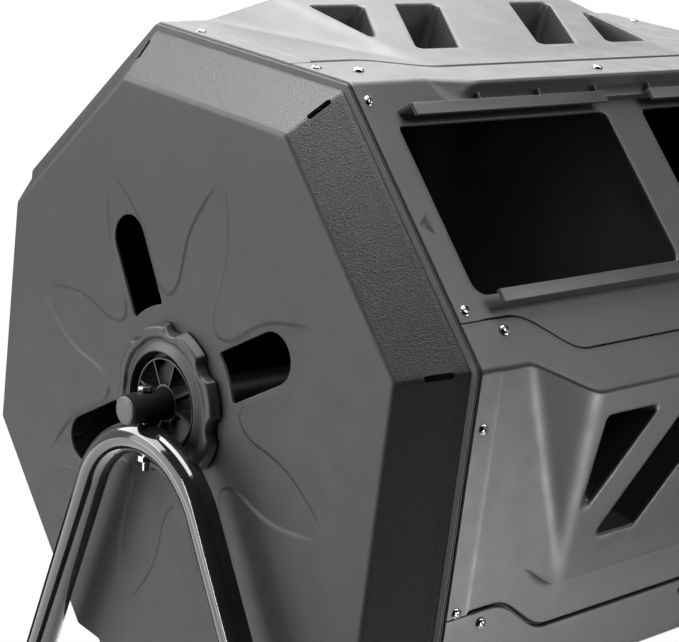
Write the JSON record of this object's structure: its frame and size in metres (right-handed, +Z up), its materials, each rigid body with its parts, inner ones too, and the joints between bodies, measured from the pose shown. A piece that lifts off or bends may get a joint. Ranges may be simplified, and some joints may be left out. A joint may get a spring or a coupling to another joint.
{
  "type": "compost tumbler",
  "caption": "Eight-sided rotating compost drum with two chambers on a tubular A-frame stand, with a sliding door and finned panels that mix the compost.",
  "frame": {"origin": "on the floor, under the middle of the drum and of the axle", "axes": "+X along the axle from the near end to the far end, -Y towards the door side, +Z up"},
  "size_m": [0.729, 0.7324, 0.9682],
  "materials": {
    "drum_plastic": "charcoal moulded polypropylene, fine matt texture",
    "door_plastic": "charcoal moulded polypropylene, fine matt texture",
    "hub_plastic": "dark charcoal moulded nylon, satin",
    "plug_plastic": "grey moulded plastic",
    "foot_plastic": "black moulded plastic",
    "black_enamel": "gloss black powder coat on steel tube",
    "zinc_steel": "bright zinc plate",
    "screw_steel": "bright nickel plate"
  },
  "bodies": {
    "stand": {"axle_bolt_far": "zinc_steel", "axle_bolt_near": "zinc_steel", "axle_nut_far": "zinc_steel", "axle_nut_near": "zinc_steel", "axle_plug_far": "plug_plastic", "axle_plug_near": "plug_plastic", "axle_tube": "black_enamel", "crossbar_bolt_far_front": "zinc_steel", "crossbar_bolt_far_rear": "zinc_steel", "crossbar_bolt_near_front": "zinc_steel", "crossbar_bolt_near_rear": "zinc_steel", "crossbar_front": "black_enamel", "crossbar_rear": "black_enamel", "foot_far_front": "foot_plastic", "foot_far_rear": "foot_plastic", "foot_near_front": "foot_plastic", "foot_near_rear": "foot_plastic", "leg_frame_far": "black_enamel", "leg_frame_near": "black_enamel"},
    "drum": {"bottom_panel": "drum_plastic", "divider_panel": "drum_plastic", "door_panel": "drum_plastic", "end_cap_far": "drum_plastic", "end_cap_near": "drum_plastic", "front_panel": "drum_plastic", "hub_bearing_far": "hub_plastic", "hub_bearing_near": "hub_plastic", "hub_knob_far": "hub_plastic", "hub_knob_near": "hub_plastic", "lower_front_panel": "drum_plastic", "lower_rear_panel": "drum_plastic", "rear_panel": "drum_plastic", "screw_bottom_far": "screw_steel", "screw_bottom_middle": "screw_steel", "screw_bottom_near": "screw_steel", "screw_door_far": "screw_steel", "screw_door_middle": "screw_steel", "screw_door_near": "screw_steel", "screw_front_far": "screw_steel", "screw_front_middle": "screw_steel", "screw_front_near": "screw_steel", "screw_lower_front_far": "screw_steel", "screw_lower_front_middle": "screw_steel", "screw_lower_front_near": "screw_steel", "screw_lower_rear_far": "screw_steel", "screw_lower_rear_middle": "screw_steel", "screw_lower_rear_near": "screw_steel", "screw_rear_far": "screw_steel", "screw_rear_middle": "screw_steel", "screw_rear_near": "screw_steel", "screw_top_far": "screw_steel", "screw_top_middle": "screw_steel", "screw_top_near": "screw_steel", "screw_upper_rear_far": "screw_steel", "screw_upper_rear_middle": "screw_steel", "screw_upper_rear_near": "screw_steel", "top_panel": "drum_plastic", "upper_rear_panel": "drum_plastic"},
    "door": {"sliding_door": "door_plastic"}
  },
  "joints": [
    {"name": "drum_spin", "type": "hinge", "parent": "stand", "child": "drum", "pos_m": [0, 0, 0.655], "axis": [1, 0, 0], "continuous": true},
    {"name": "door_slide", "type": "slide", "parent": "drum", "child": "door", "axis": [1, 0, 0], "range_m": [-0.0695, 0]}
  ]
}
